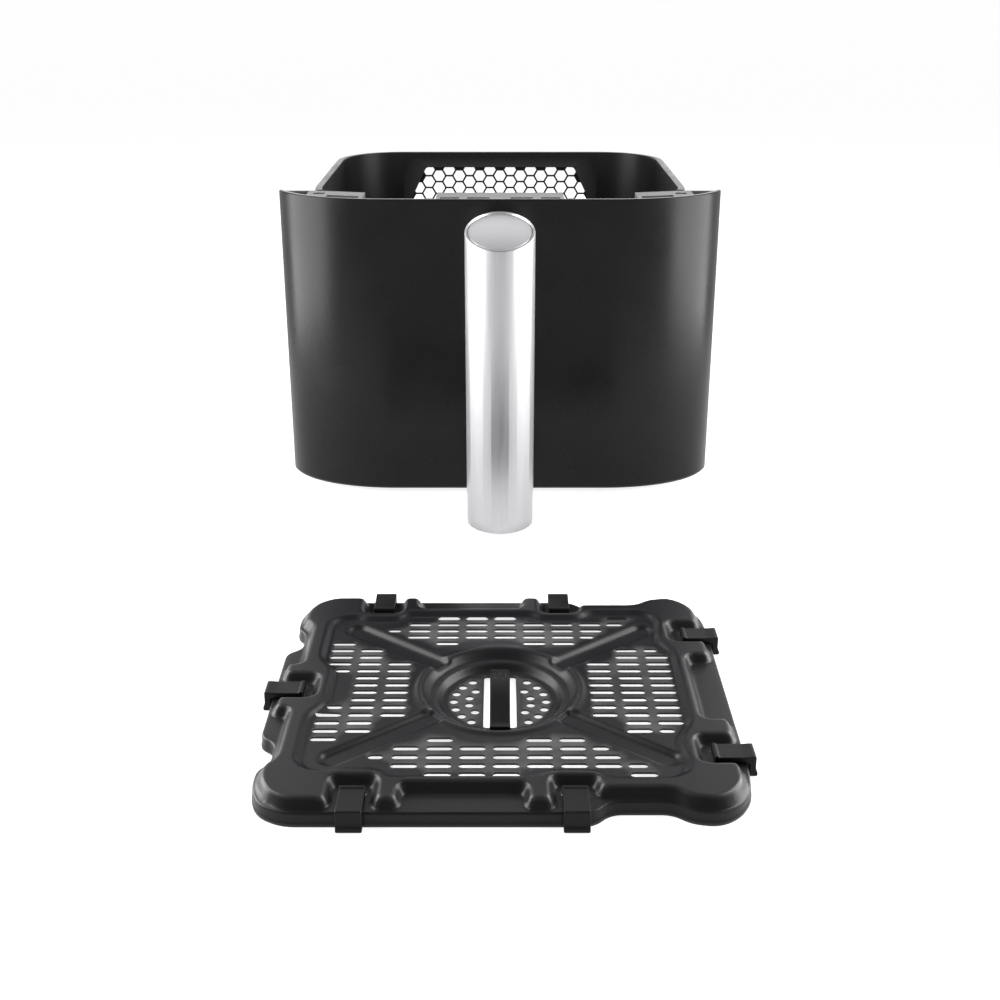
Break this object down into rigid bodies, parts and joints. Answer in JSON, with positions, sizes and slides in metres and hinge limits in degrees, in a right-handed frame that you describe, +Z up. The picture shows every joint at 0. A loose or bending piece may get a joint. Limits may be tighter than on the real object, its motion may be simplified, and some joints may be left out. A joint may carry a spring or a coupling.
{
  "type": "air fryer drawer with crisper plate",
  "caption": "Air fryer drawer: a coated pan with a hexagon vent, a curved black front with a round metal handle, and a slotted crisper plate with clips.",
  "frame": {"origin": "on the table, under the middle of the set's bounding box", "axes": "+Z up, +Y from the crisper plate towards the back of the pan, +X to the right as seen from the handle's side"},
  "size_m": [0.2842, 0.5762, 0.197],
  "materials": {
    "panel_plastic": "satin black moulded PBT",
    "frame_plastic": "matt dark grey moulded PBT",
    "pan_coating": "semi-gloss black non-stick coating on steel",
    "plate_coating": "satin charcoal non-stick coating on steel",
    "handle_aluminium": "brushed along its length",
    "handle_cap": "bead-blasted",
    "steel": "zinc plated",
    "silicone": "black moulded silicone"
  },
  "bodies": {
    "drawer": {"front_panel": "panel_plastic", "inner_frame": "frame_plastic", "frame_screw_1": "steel", "frame_screw_2": "steel", "frame_screw_3": "steel", "frame_screw_4": "steel", "pan": "pan_coating", "vent_grille": "pan_coating", "pan_bracket_left": "steel", "pan_bracket_right": "steel", "pan_screw_1": "steel", "pan_screw_2": "steel", "pan_screw_3": "steel", "pan_screw_4": "steel", "pan_foot_1": "silicone", "pan_foot_2": "silicone", "pan_foot_3": "silicone", "pan_foot_4": "silicone", "handle_tube": "handle_aluminium", "handle_top_cap": "handle_cap", "handle_bottom_plug": "frame_plastic", "handle_core": "frame_plastic", "handle_post_lower": "frame_plastic", "handle_post_upper": "frame_plastic", "handle_backing_plate": "steel", "handle_screw_1": "steel", "handle_screw_2": "steel", "handle_screw_3": "steel", "handle_screw_4": "steel"},
    "crisper_plate": {"crisper_plate": "plate_coating", "clip_back_left": "silicone", "clip_back_right": "silicone", "clip_front_left": "silicone", "clip_front_right": "silicone", "clip_left": "silicone", "clip_right_back": "silicone", "clip_right_front": "silicone", "lift_handle": "silicone"}
  },
  "joints": [
    {"name": "plate_lift", "type": "slide", "parent": "drawer", "child": "crisper_plate", "axis": [0, 0, 1], "range_m": [0, 0.25]}
  ]
}
